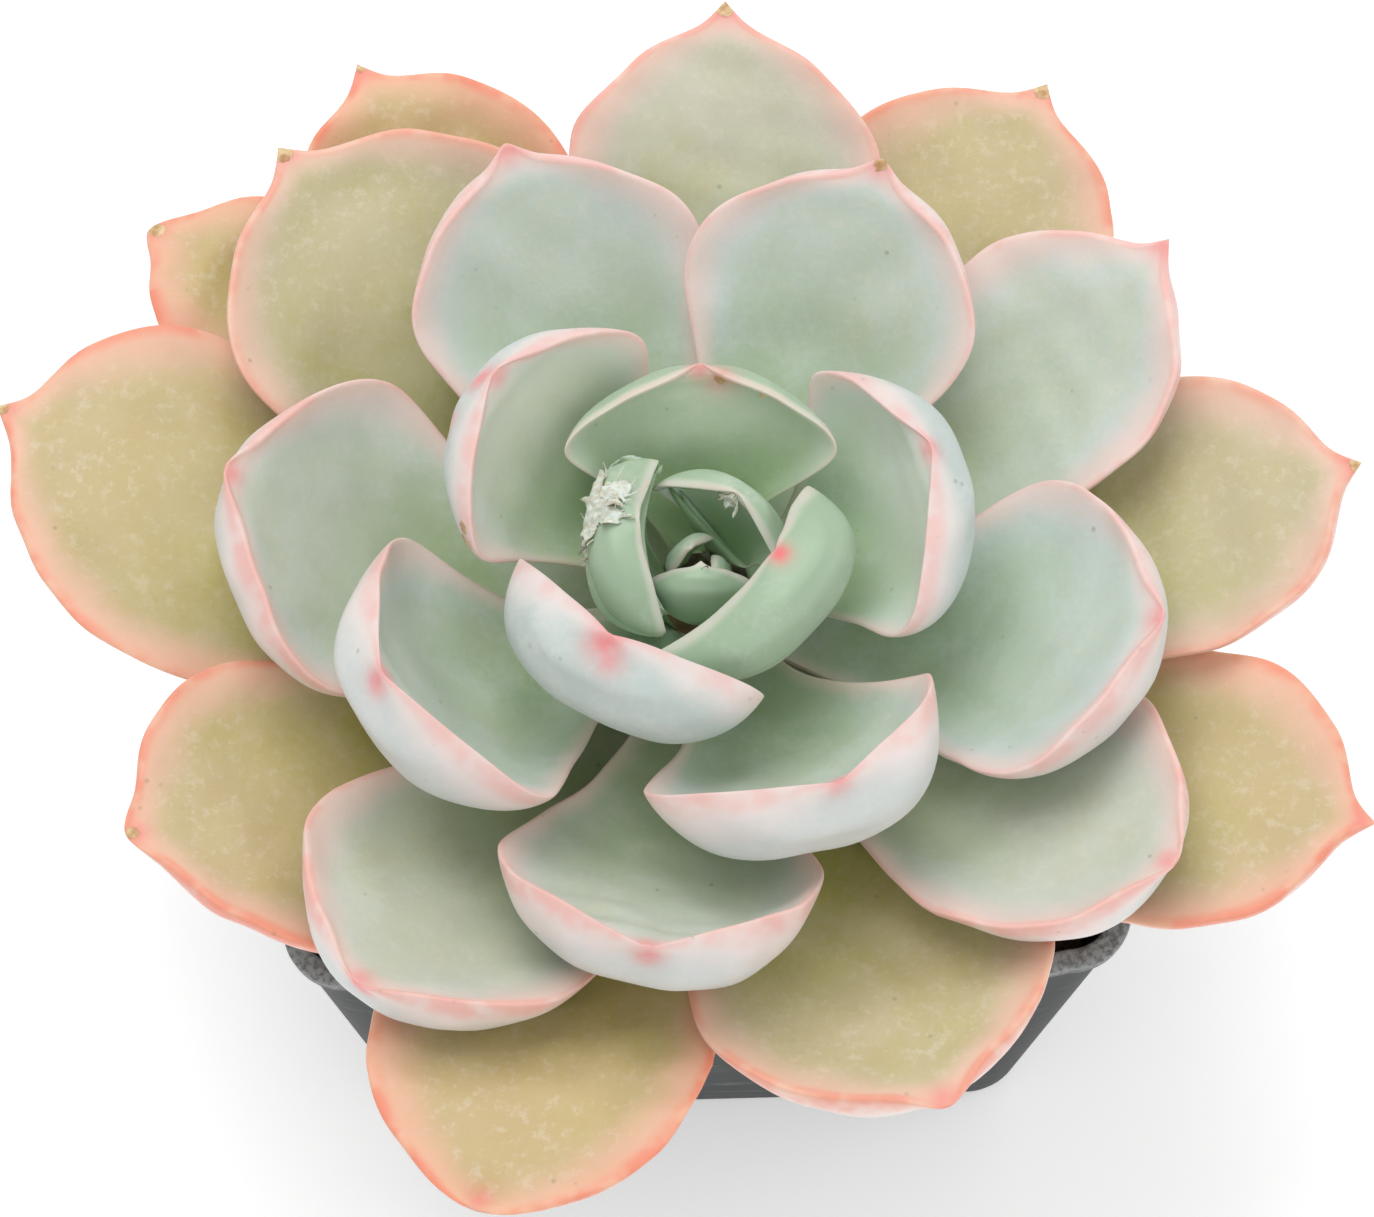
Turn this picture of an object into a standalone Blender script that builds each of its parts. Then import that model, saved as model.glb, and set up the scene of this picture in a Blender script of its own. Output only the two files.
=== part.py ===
"""A rosette succulent in a square nursery pot, modelled in metres with +Z up.

The origin is the middle of the pot's underside. The plant stands a little in front of the pot's middle.
Leaves are numbered from the youngest in the heart to the oldest at the soil. Each one grows a golden turn
on from the last, and lies close against the younger leaves above it without touching them.
"""

import math

import bmesh
import bpy
import numpy as np
from mathutils.bvhtree import BVHTree

MM = 0.001

# Pot: a tapered square cup with rounded corners and slightly bowed sides.
POT_HEIGHT = 53.5 * MM
POT_RIM_HALF = 38.8 * MM
POT_BASE_HALF = 33.0 * MM
POT_RIM_CORNER = 5.2 * MM
POT_BASE_CORNER = 6.0 * MM
POT_BOW = 3.2 * MM
POT_WALL = 1.3 * MM
POT_FLOOR = 1.8 * MM
POT_LIP_HEIGHT = 2.6 * MM
POT_LIP_OUT = 0.6 * MM
POT_FOOT_ROUND = 2.0 * MM
DRAIN_RADIUS = 4.0 * MM
DRAIN_OFFSET = 17.0 * MM
CORNER_STEPS = 5
SIDE_STEPS = 4

# Potting mix, the stem that stands in it, and the gap kept between pieces.
GAP = 0.3 * MM
SOIL_BELOW_RIM = 10.5 * MM
SOIL_LEVEL = POT_HEIGHT - SOIL_BELOW_RIM
SOIL_HEAP = 1.6 * MM
STEM_X = 0.1 * MM
STEM_Y = -5.4 * MM
STEM_DEPTH = 13.0 * MM
STEM_RISE = 24.5 * MM
STEM_FOOT = SOIL_LEVEL - STEM_DEPTH
STEM_FOOT_RADIUS = 4.0 * MM
STEM_NECK_RADIUS = 8.5 * MM
STEM_TOP = SOIL_LEVEL + STEM_RISE
STEM_TOP_RADIUS = 1.2 * MM
STEM_SIDES = 20

# Growth: each leaf turns on by the divergence and leaves the stem one step lower than the one before.
FIRST_TURN_DEG = 233.0
DIVERGENCE_DEG = 138.1
YOUNGEST_RANK = -7
BASE_BELOW_TOP = 1.0 * MM
BASE_TOP = STEM_TOP - BASE_BELOW_TOP
BASE_STEP = 0.47 * MM
LEAF_GAP = 0.45 * MM
RIM_GAP = 0.1 * MM

# Leaf outline: (share of the length, share of the half width), base to tip, with a short point at the end.
OUTLINE = (
    (0.0, 0.22), (0.16, 0.34), (0.33, 0.63), (0.48, 0.87), (0.60, 0.99), (0.68, 1.0), (0.77, 0.92),
    (0.85, 0.72), (0.91, 0.46), (0.945, 0.20), (0.97, 0.09), (1.0, 0.0),
)
# Leaf flesh: (share of the length, share of the full thickness).
FLESH = ((0.0, 0.38), (0.3, 0.50), (0.6, 0.86), (0.8, 1.0), (0.91, 0.76), (0.945, 0.38), (0.97, 0.15), (1.0, 0.0))
STATIONS = (0.0, 0.1, 0.22, 0.34, 0.46, 0.57, 0.66, 0.74, 0.81, 0.87, 0.915, 0.945, 0.97)
ACROSS = (-1.0, -0.93, -0.62, 0.0, 0.62, 0.93, 1.0)
LEAF_FLESH = 0.38
OLD_FLESH = 0.22
FLESH_ABOVE = 0.16
FLESH_BELOW = 0.84
CUP_POWER = 1.8
TURN_UP = 0.56

# One row a leaf: rank, lean off the rule and further hook of the tip (degrees), reach of the tip from the
# stem's middle (mm), height of the tip above the mix (mm), half width (mm), cup at the margin (degrees), belly (share).
LEAVES = (
    (-7, 0, 0, 1.0, 26.5, 2.0, 60, 0.12),
    (-6, 8, 0, 1.2, 28.5, 2.8, 65, 0.14),
    (-5, 5, 0, 2.4, 32.5, 4.6, 70, 0.24),
    (-4, 10, 0, 5.4, 33.0, 7.0, 72, 0.13),
    (-3, 2, 0, 5.6, 36.5, 9.0, 80, 0.24),
    (-2, -7, 19, 7.6, 37.5, 10.4, 86, 0.25),
    (-1, -6, 0, 16.6, 35.0, 12.4, 72, 0.06),
    (0, 4, 0, 15.4, 39.5, 12.8, 68, 0.23),
    (1, 2, 4, 22.0, 37.0, 13.8, 60, 0.18),
    (2, -6, 0, 23.0, 39.5, 13.2, 54, 0.135),
    (3, 4, 2, 28.6, 36.5, 14.3, 60, 0.20),
    (4, -1, 0, 42.0, 35.5, 14.4, 50, 0.14),
    (5, 3, 0, 32.0, 35.5, 14.8, 58, 0.23),
    (6, 6, 0, 42.3, 32.5, 15.0, 48, 0.15),
    (7, -7, 0, 45.3, 33.5, 14.6, 48, 0.14),
    (8, 4, 0, 40.0, 32.5, 14.4, 54, 0.20),
    (9, -4, 3, 55.0, 30.5, 13.1, 42, 0.11),
    (10, -2, -4, 44.5, 30.5, 16.0, 50, 0.18),
    (11, 10, 1, 51.5, 27.5, 14.4, 42, 0.11),
    (12, -5, 1, 61.0, 28.5, 15.3, 38, 0.07),
    (13, 4, 0, 51.0, 27.5, 15.2, 46, 0.14),
    (14, 2, 1, 63.0, 24.5, 14.5, 34, 0.05),
    (15, -14, 0, 61.0, 26.5, 18.0, 38, 0.07),
    (16, 9, 0, 55.0, 22.0, 17.0, 34, 0.05),
    (17, -4, 0, 65.0, 22.5, 16.0, 26, 0.03),
    (18, 11, -6, 57.5, 21.5, 15.6, 28, 0.04),
    (19, -4, 5, 65.4, 20.5, 15.0, 26, 0.01),
    (20, 6, -2, 66.8, 22.5, 14.5, 28, 0.01),
    (21, -3, 0, 62.5, 19.8, 15.5, 26, -0.02),
    (23, 0, -8, 70.5, 19.2, 17.4, 24, -0.02),
    (28, -5, 6, 68.5, 17.0, 12.5, 12, -0.06),
)


def remove_all():
    """Empties the scene, so that only the pieces made here are left."""
    for item in list(bpy.data.objects):
        bpy.data.objects.remove(item, do_unlink=True)


def material(name, color, roughness):
    """A plain Principled material."""
    made = bpy.data.materials.new(name)
    made.use_nodes = True
    shader = made.node_tree.nodes["Principled BSDF"]
    shader.inputs["Base Color"].default_value = (*color, 1.0)
    shader.inputs["Roughness"].default_value = roughness
    return made


def make_object(name, points, faces, look):
    """One closed piece from points and faces, with its normals turned outward."""
    mesh = bpy.data.meshes.new(name)
    mesh.from_pydata([tuple(map(float, point)) for point in points], [], faces)
    shell = bmesh.new()
    shell.from_mesh(mesh)
    bmesh.ops.triangulate(shell, faces=[face for face in shell.faces if len(face.verts) > 4])
    bmesh.ops.recalc_face_normals(shell, faces=shell.faces)
    shell.to_mesh(mesh)
    shell.free()
    mesh.materials.append(look)
    made = bpy.data.objects.new(name, mesh)
    bpy.context.scene.collection.objects.link(made)
    return made


def ring_faces(first, second, count):
    """Quads between two rings of the same count, given the index each ring starts at."""
    return [
        (first + i, first + (i + 1) % count, second + (i + 1) % count, second + i) for i in range(count)
    ]


def square_ring(half, corner, bow, height):
    """A square with rounded corners whose sides bow outward by the given amount, at one height."""
    flat = half - corner
    points = []
    for side in range(4):
        turn = side * math.pi / 2
        across, out = np.array([-math.sin(turn), math.cos(turn)]), np.array([math.cos(turn), math.sin(turn)])
        for i in range(SIDE_STEPS):
            along = -flat + 2 * flat * i / SIDE_STEPS
            swell = bow * (1 - (along / flat) ** 2)
            points.append(along * across + (half + swell) * out)
        for i in range(CORNER_STEPS):
            angle = turn + math.pi / 2 * i / CORNER_STEPS
            centre = flat * across + flat * out
            points.append(centre + corner * np.array([math.cos(angle), math.sin(angle)]))
    return [(x, y, height) for x, y in points]


def pot_half(height):
    """The pot's outside at one height: half width, corner radius and bow of the sides."""
    share = height / POT_HEIGHT
    half = POT_BASE_HALF + (POT_RIM_HALF - POT_BASE_HALF) * share
    corner = POT_BASE_CORNER + (POT_RIM_CORNER - POT_BASE_CORNER) * share
    return half, corner, POT_BOW * share


def pot_ring(height, inset):
    """A ring of the pot's section at one height, moved in from the outside by the inset."""
    half, corner, bow = pot_half(height)
    return square_ring(half - inset, corner - 0.75 * inset, bow, height)


def build_pot(look):
    """The pot: one thin wall with a foot, a lip, a floor and four drain holes near the floor's corners."""
    lip_foot = POT_HEIGHT - POT_LIP_HEIGHT
    rings = [
        pot_ring(0.0, POT_FOOT_ROUND),
        pot_ring(0.3 * POT_FOOT_ROUND, 0.3 * POT_FOOT_ROUND),
        pot_ring(POT_FOOT_ROUND, 0.0),
        pot_ring(0.35 * POT_HEIGHT, 0.0),
        pot_ring(0.68 * POT_HEIGHT, 0.0),
        pot_ring(lip_foot - 0.6 * MM, 0.0),
        pot_ring(lip_foot, -POT_LIP_OUT),
        pot_ring(POT_HEIGHT - 0.5 * MM, -POT_LIP_OUT),
        pot_ring(POT_HEIGHT, -POT_LIP_OUT + 0.4 * MM),
        pot_ring(POT_HEIGHT, POT_WALL - 0.3 * MM),
        pot_ring(POT_HEIGHT - 0.5 * MM, POT_WALL),
        pot_ring(0.68 * POT_HEIGHT, POT_WALL),
        pot_ring(0.35 * POT_HEIGHT, POT_WALL),
        pot_ring(POT_FLOOR + 1.0 * MM, POT_WALL),
        pot_ring(POT_FLOOR, POT_WALL + 1.2 * MM),
    ]
    count = len(rings[0])
    points = [point for ring in rings for point in ring]
    faces = []
    for i in range(len(rings) - 1):
        faces += ring_faces(i * count, (i + 1) * count, count)
    holes = []
    for x in (-DRAIN_OFFSET, DRAIN_OFFSET):
        for y in (-DRAIN_OFFSET, DRAIN_OFFSET):
            for height in (0.0, POT_FLOOR):
                holes.append(len(points))
                for i in range(16):
                    angle = 2 * math.pi * i / 16
                    points.append((x + DRAIN_RADIUS * math.cos(angle), y + DRAIN_RADIUS * math.sin(angle), height))
    for low, high in zip(holes[::2], holes[1::2]):
        faces += ring_faces(low, high, 16)
    shell = bmesh.new()
    verts = [shell.verts.new(point) for point in points]
    for face in faces:
        shell.faces.new([verts[i] for i in face])
    for start, ring_holes in ((0, holes[::2]), (count * (len(rings) - 1), holes[1::2])):
        loops = [(start, count)] + [(hole, 16) for hole in ring_holes]
        edges = []
        for first, number in loops:
            for i in range(number):
                edges.append(shell.edges.get((verts[first + i], verts[first + (i + 1) % number])))
        bmesh.ops.triangle_fill(shell, use_beauty=True, edges=edges)
    bmesh.ops.recalc_face_normals(shell, faces=shell.faces)
    mesh = bpy.data.meshes.new("pot")
    shell.to_mesh(mesh)
    shell.free()
    mesh.materials.append(look)
    made = bpy.data.objects.new("pot", mesh)
    bpy.context.scene.collection.objects.link(made)
    return made


def stem_radius(height):
    """The stem's radius at one height: full at the neck, drawn in to the growing tip."""
    share = min(max((height - SOIL_LEVEL) / (STEM_TOP - SOIL_LEVEL), 0.0), 1.0)
    return STEM_NECK_RADIUS + (STEM_TOP_RADIUS - STEM_NECK_RADIUS) * share


def rim_lift(points, faces):
    """How far the plant must rise for its leaves to clear the pot's rim by RIM_GAP: 0 where they already do.

    Upright rays from below find the lowest leaf over the wall, the lip and RIM_GAP to either side of them.
    """
    tree = BVHTree.FromPolygons([tuple(point) for point in points], faces)
    lift = 0.0
    for share in np.linspace(0.0, 1.0, 7):
        inset = -POT_LIP_OUT - RIM_GAP + share * (POT_WALL + POT_LIP_OUT + 2 * RIM_GAP)
        ring = np.array(pot_ring(POT_HEIGHT, inset))
        for spot in np.concatenate([ring + k / 8 * (np.roll(ring, -1, axis=0) - ring) for k in range(8)]):
            hit = tree.ray_cast((spot[0], spot[1], 0.0), (0.0, 0.0, 1.0), 1.0)
            if hit[0] is not None:
                lift = max(lift, POT_HEIGHT + RIM_GAP - hit[0][2])
    return lift


def circle(radius, height, count=STEM_SIDES):
    """A ring about the stem's own middle."""
    return [
        (
            STEM_X + radius * math.cos(2 * math.pi * i / count),
            STEM_Y + radius * math.sin(2 * math.pi * i / count),
            height,
        )
        for i in range(count)
    ]


def stem_rings():
    """The stem's rings from the buried foot to the growing tip."""
    buried = SOIL_LEVEL - 4.0 * MM
    profile = [(STEM_FOOT, STEM_FOOT_RADIUS), (buried, 0.9 * STEM_NECK_RADIUS)]
    profile += [(SOIL_LEVEL + share * (STEM_TOP - SOIL_LEVEL), None) for share in (0.0, 0.2, 0.4, 0.6, 0.8, 0.95)]
    return [circle(stem_radius(height) if radius is None else radius, height) for height, radius in profile]


def build_stem(look, lift):
    """A short stem, standing on a narrowed foot in the mix. Its neck is drawn up with the leaves' lift."""
    rings = stem_rings()
    points = [point for ring in rings for point in ring] + [(STEM_X, STEM_Y, STEM_TOP)]
    points = [(x, y, z + lift if z > SOIL_LEVEL else z) for x, y, z in points]
    faces = [tuple(range(STEM_SIDES))]
    for i in range(len(rings) - 1):
        faces += ring_faces(i * STEM_SIDES, (i + 1) * STEM_SIDES, STEM_SIDES)
    last, top = (len(rings) - 1) * STEM_SIDES, len(points) - 1
    faces += [(last + i, last + (i + 1) % STEM_SIDES, top) for i in range(STEM_SIDES)]
    return make_object("stem", points, faces, look)


def build_mix(look):
    """The mix: fills the pot up to its level, heaped a little toward the stem and hollowed for its foot."""
    outer = 4 * (SIDE_STEPS + CORNER_STEPS)
    clear = POT_WALL + GAP + 0.1 * MM
    low = POT_FLOOR + GAP
    rings = [
        pot_ring(low, clear + 1.5 * MM),
        pot_ring(low + 1.3 * MM, clear + 0.3 * MM),
        pot_ring(0.35 * POT_HEIGHT, clear),
        pot_ring(0.68 * POT_HEIGHT, clear),
        pot_ring(SOIL_LEVEL - 0.8 * MM, clear),
        pot_ring(SOIL_LEVEL, clear + 1.0 * MM),
    ]
    hole = STEM_NECK_RADIUS + GAP
    edge = np.array(rings[-1])
    # The inner rings are on the same spokes as the square one, so that the two can be joined ring by ring.
    spokes = edge[:, :2] - np.array([STEM_X, STEM_Y])
    spokes /= np.linalg.norm(spokes, axis=1)[:, None]

    def spoke_ring(radius, height):
        return [(STEM_X + radius * x, STEM_Y + radius * y, height) for x, y in spokes]

    for share, lift, phase in ((0.24, 0.3, 0.4), (0.5, 0.7, 2.1), (0.76, 0.95, 4.0)):
        ring = []
        for i, (point, near) in enumerate(zip(edge, spoke_ring(hole, SOIL_LEVEL))):
            turn = 2 * math.pi * i / outer
            bump = 0.22 * math.sin(3 * turn + phase) + 0.16 * math.sin(7 * turn + 2 * phase)
            place = point + share * (np.array(near) - point)
            ring.append((place[0], place[1], SOIL_LEVEL + SOIL_HEAP * (lift + bump)))
        rings.append(ring)
    rings.append(spoke_ring(hole, SOIL_LEVEL + SOIL_HEAP))
    rings.append(spoke_ring(hole, SOIL_LEVEL - 4.0 * MM))
    rings.append(spoke_ring(STEM_FOOT_RADIUS + 2 * GAP, STEM_FOOT - GAP))
    points = [point for ring in rings for point in ring]
    faces = [tuple(range(outer))]
    for i in range(len(rings) - 1):
        faces += ring_faces(i * outer, (i + 1) * outer, outer)
    last = (len(rings) - 1) * outer
    faces.append(tuple(last + i for i in range(outer)))
    return make_object("potting_mix", points, faces, look)


def table_value(table, place):
    """Straight-line reading of a two-column table."""
    return float(np.interp(place, [row[0] for row in table], [row[1] for row in table]))


def blade_section(cup):
    """The blade's own section at unit half width: its slope grows as cup |v| ^ CUP_POWER toward the margin."""
    fine = np.linspace(0.0, 1.0, 101)
    slope = cup * fine ** CUP_POWER
    run = np.concatenate([[0.0], np.cumsum(np.cos((slope[1:] + slope[:-1]) / 2))])
    rise = np.concatenate([[0.0], np.cumsum(np.sin((slope[1:] + slope[:-1]) / 2))])
    reach = np.abs(ACROSS)
    return np.sign(ACROSS) * np.interp(reach, fine, run) / run[-1], np.interp(reach, fine, rise) / run[-1]


def leaf_grid(row):
    """The leaf as it grows, before it is laid against its neighbours.

    With t the share of the length, the keel is a quadratic curve in the upright plane of the leaf:
      P(t) = (1 - t)^2 B + 2 t (1 - t) C + t^2 T,   C = B + u (T - B) + 2 belly |T - B| m
    B on the stem, T the tip, m the outward normal of B -> T and u the turn-up share. The plane turns by
    hook t^2. Across the leaf the blade is x = h X(v), y = h Y(v) over v in [-1, 1], whose slope grows
    toward the margin up to the cup, and its flesh is f (1 - |v|^2.6)^0.6, part above it and most below.
    Returns the top and the underside as arrays [station][across], the two poles and the outward direction.
    """
    rank, lean, hook, reach, tip_height, half, cup_deg, belly = row
    reach, half, cup = reach * MM, half * MM, math.radians(cup_deg)
    tip_height = SOIL_LEVEL + tip_height * MM
    thick = half * (LEAF_FLESH + (OLD_FLESH - LEAF_FLESH) * min(max((rank - 8) / 20, 0.0), 1.0))
    base_height = BASE_TOP - BASE_STEP * (rank - YOUNGEST_RANK)
    root = np.array([stem_radius(base_height - 1.0 * MM) + 0.4 * MM + 0.3 * thick, base_height])
    tip = np.array([reach, tip_height])
    chord = tip - root
    length = np.linalg.norm(chord)
    outward = np.array([chord[1], -chord[0]]) / length
    bend = root + TURN_UP * (tip - root) + 2 * belly * length * outward
    first = math.radians(FIRST_TURN_DEG + DIVERGENCE_DEG * rank + lean)
    blade_x, blade_y = blade_section(cup)

    def frame(t):
        place = (1 - t) ** 2 * root + 2 * t * (1 - t) * bend + t * t * tip
        slope = 2 * (1 - t) * (bend - root) + 2 * t * (tip - bend)
        slope /= np.linalg.norm(slope)
        turn = first + math.radians(hook) * t ** 2
        ray = np.array([math.cos(turn), math.sin(turn), 0.0])
        side = np.array([-math.sin(turn), math.cos(turn), 0.0])
        spot = np.array([STEM_X, STEM_Y, 0.0]) + place[0] * ray + np.array([0.0, 0.0, place[1]])
        normal = -slope[1] * ray + slope[0] * np.array([0.0, 0.0, 1.0])
        return spot, side, normal

    top, under = [], []
    for t in STATIONS:
        spot, side, normal = frame(t)
        width = half * table_value(OUTLINE, t)
        flesh = thick * table_value(FLESH, t)
        rows = ([], [])
        for v, x, y in zip(ACROSS, blade_x, blade_y):
            depth = flesh * (1 - abs(v) ** 2.6) ** 0.6
            blade = spot + width * x * side + width * y * normal
            rows[0].append(blade + FLESH_ABOVE * depth * normal)
            rows[1].append(blade - FLESH_BELOW * depth * normal)
        top.append(rows[0])
        under.append(rows[1])
    root_pole = frame(0.0)[0]
    tip_pole = frame(1.0)[0]
    return np.array(top), np.array(under), root_pole, tip_pole, -frame(0.6)[2]


def spread_need(need, passes=2):
    """Widens and softens the shifts asked for on the grid, never to less than what was asked."""
    wide = need.copy()
    for _ in range(passes):
        padded = np.pad(wide, 1, mode="edge")
        near = [padded[i:i + need.shape[0], j:j + need.shape[1]] for i in range(3) for j in range(3)]
        wide = np.maximum(wide, np.mean(near, axis=0))
        wide = np.maximum(wide, 0.75 * np.max(near, axis=0))
    return wide


def probe(tree, point, away):
    """How far a point must move along the direction to leave everything in the tree on its inner side."""
    far = 0.12
    hit = tree.ray_cast(tuple(point + far * away), tuple(-away), far + 0.03)
    if hit[0] is None:
        return 0.0
    return max(0.0, far - hit[3] + LEAF_GAP)


def leaf_parts(top, under, root_pole, tip_pole):
    """Points and faces of a closed leaf from its top and underside, which share their two margins."""
    stations, across = top.shape[0], top.shape[1]
    points = []
    for i in range(stations):
        points += list(top[i]) + list(under[i][1:-1][::-1])
    ring = 2 * across - 2
    faces = []
    for i in range(stations - 1):
        faces += ring_faces(i * ring, (i + 1) * ring, ring)
    points += [root_pole, tip_pole]
    last = (stations - 1) * ring
    faces += [((i + 1) % ring, i, len(points) - 2) for i in range(ring)]
    faces += [(last + i, last + (i + 1) % ring, len(points) - 1) for i in range(ring)]
    return points, faces


def between(grid):
    """The grid with its own in-between points added, so that whole faces are probed and not only corners."""
    rows = np.repeat(grid, 2, axis=0)[:-1]
    rows[1::2] = (grid[:-1] + grid[1:]) / 2
    both = np.repeat(rows, 2, axis=1)[:, :-1]
    both[:, 1::2] = (rows[:, :-1] + rows[:, 1:]) / 2
    return both


def lay_leaf(row, tree):
    """Moves a leaf outward, where it must, until no younger leaf is in its way."""
    top, under, root_pole, tip_pole, away = leaf_grid(row)
    if tree is not None:
        for _ in range(4):
            need = np.zeros((2 * top.shape[0] - 1, 2 * top.shape[1] - 1))
            for side in (top, under):
                fine = between(side)
                for i in range(fine.shape[0]):
                    for j in range(fine.shape[1]):
                        need[i, j] = max(need[i, j], probe(tree, fine[i, j], away))
            tip_need = probe(tree, tip_pole, away)
            if max(need.max(), tip_need) <= 0.0:
                break
            need[-1] = np.maximum(need[-1], tip_need)
            shift = spread_need(need)[::2, ::2]
            top = top + shift[:, :, None] * away
            under = under + shift[:, :, None] * away
            root_pole = root_pole + shift[0].max() * away
            tip_pole = tip_pole + shift[-1].mean() * away
    return top, under, root_pole, tip_pole


def leaf_name(rank):
    """A leaf's name by its ring in the rosette."""
    if rank < 0:
        return f"heart_leaf_{-rank:02d}"
    ring = "inner" if rank < 3 else "middle" if rank < 14 else "outer"
    return f"{ring}_leaf_{rank:02d}"


def leaf_look(rank):
    """Each leaf's own colour: mint in the heart, sage in the middle, toward olive and ochre with age."""
    share = min(max((rank - 6) / 16, 0.0), 1.0)
    young, old = np.array([0.36, 0.46, 0.35]), np.array([0.42, 0.42, 0.24])
    return young + share * (old - young)


def main():
    remove_all()
    build_pot(material("pot_plastic", (0.035, 0.036, 0.038), 0.55))
    build_mix(material("potting_mix", (0.055, 0.038, 0.026), 0.95))
    points, faces, laid = [], [], []
    for row in LEAVES:
        tree = BVHTree.FromPolygons([tuple(p) for p in points], faces) if points else None
        new_points, new_faces = leaf_parts(*lay_leaf(row, tree))
        laid.append((row[0], new_points, new_faces))
        start = len(points)
        points += new_points
        faces += [tuple(start + i for i in face) for face in new_faces]
    lift = rim_lift(points, faces)
    build_stem(material("stem_bark", (0.30, 0.24, 0.14), 0.8), lift)
    for rank, new_points, new_faces in laid:
        look = material(leaf_name(rank), leaf_look(rank), 0.55)
        make_object(leaf_name(rank), [point + np.array([0.0, 0.0, lift]) for point in new_points], new_faces, look)


main()
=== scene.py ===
"""A potted succulent: a rosette of fleshy, powdery leaves in a square nursery pot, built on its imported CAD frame."""
import math

import bmesh
import bpy
import numpy as np
from mathutils import Matrix, Vector


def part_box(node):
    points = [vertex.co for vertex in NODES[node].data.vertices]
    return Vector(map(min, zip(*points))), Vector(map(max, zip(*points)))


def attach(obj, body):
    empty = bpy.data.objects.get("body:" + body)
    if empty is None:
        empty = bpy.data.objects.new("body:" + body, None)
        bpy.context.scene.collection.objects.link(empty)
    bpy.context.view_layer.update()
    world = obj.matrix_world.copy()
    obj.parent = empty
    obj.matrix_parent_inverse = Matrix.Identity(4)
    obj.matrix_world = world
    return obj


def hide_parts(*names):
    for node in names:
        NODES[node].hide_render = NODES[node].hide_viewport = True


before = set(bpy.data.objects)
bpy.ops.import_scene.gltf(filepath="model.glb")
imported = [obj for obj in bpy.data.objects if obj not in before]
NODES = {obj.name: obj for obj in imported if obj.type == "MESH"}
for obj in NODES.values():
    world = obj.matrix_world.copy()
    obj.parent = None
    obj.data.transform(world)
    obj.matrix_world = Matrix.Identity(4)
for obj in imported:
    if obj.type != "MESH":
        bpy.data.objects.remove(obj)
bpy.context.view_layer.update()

MM = 0.001


# ---------------------------------------------------------------- colours and small helpers

def paint(red, green, blue):
    """A display colour, 0 to 255 a channel, as the linear colour that shaders take."""
    share = np.array([red, green, blue]) / 255.0
    linear = np.where(share <= 0.04045, share / 12.92, ((share + 0.055) / 1.055) ** 2.4)
    return (*map(float, linear), 1.0)


def smooth(low, high, value):
    """0 below low, 1 above high and 3 s^2 - 2 s^3 between them."""
    share = np.clip((value - low) / (high - low), 0.0, 1.0)
    return share * share * (3.0 - 2.0 * share)


def waves(points, length, seed, count=9):
    """A smooth, uneven field over space: the mean of plane waves sin(k . p + phase) in seeded directions.

    Every wave is between 0.7 and 1.6 times the given length. The result is mostly between -1 and 1.
    """
    draw = np.random.default_rng(seed)
    ways = draw.normal(size=(count, 3))
    ways /= np.linalg.norm(ways, axis=1)[:, None]
    ways *= 2.0 * math.pi / (length * draw.uniform(0.7, 1.6, size=(count, 1)))
    phases = draw.uniform(0.0, 2.0 * math.pi, size=count)
    return np.sin(points @ ways.T + phases).sum(axis=-1) * (1.4 / math.sqrt(count))


def spline_weights(knots, places):
    """Weights that read a natural cubic spline through values at the knots: value(places) = weights @ values."""
    count, step = len(knots), np.diff(knots)
    left, right = np.eye(count), np.zeros((count, count))
    k = np.arange(1, count - 1)
    left[k, k - 1], left[k, k], left[k, k + 1] = step[:-1], 2.0 * (step[:-1] + step[1:]), step[1:]
    right[k, k - 1], right[k, k + 1] = 6.0 / step[:-1], 6.0 / step[1:]
    right[k, k] = -right[k, k - 1] - right[k, k + 1]
    bend = np.linalg.solve(left, right)
    i = np.clip(np.searchsorted(knots, places, side="right") - 1, 0, count - 2)
    width = step[i]
    after = (places - knots[i]) / width
    before = 1.0 - after
    rows = np.arange(len(places))
    weights = ((before ** 3 - before)[:, None] * bend[i] + (after ** 3 - after)[:, None] * bend[i + 1])
    weights *= (width ** 2 / 6.0)[:, None]
    weights[rows, i] += before
    weights[rows, i + 1] += after
    return weights


def make_mesh(name, points, faces, material, attributes=None, smooth_faces=True):
    """One mesh object at the origin from an array of points and a list of face arrays, each of one face size."""
    mesh = bpy.data.meshes.new(name)
    totals = np.concatenate([np.full(len(block), block.shape[1]) for block in faces])
    corners = np.concatenate([block.ravel() for block in faces])
    mesh.vertices.add(len(points))
    mesh.vertices.foreach_set("co", np.asarray(points, dtype=np.float32).ravel())
    mesh.loops.add(len(corners))
    mesh.loops.foreach_set("vertex_index", corners.astype(np.int32))
    mesh.polygons.add(len(totals))
    mesh.polygons.foreach_set("loop_start", (np.cumsum(totals) - totals).astype(np.int32))
    mesh.polygons.foreach_set("loop_total", totals.astype(np.int32))
    mesh.update(calc_edges=True)
    mesh.validate()
    mesh.polygons.foreach_set("use_smooth", np.full(len(mesh.polygons), smooth_faces))
    for label, values in (attributes or {}).items():
        layer = mesh.attributes.new(label, "FLOAT", "POINT")
        layer.data.foreach_set("value", np.asarray(values, dtype=np.float32).ravel())
    mesh.materials.append(material)
    made = bpy.data.objects.new(name, mesh)
    bpy.context.scene.collection.objects.link(made)
    return made


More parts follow.
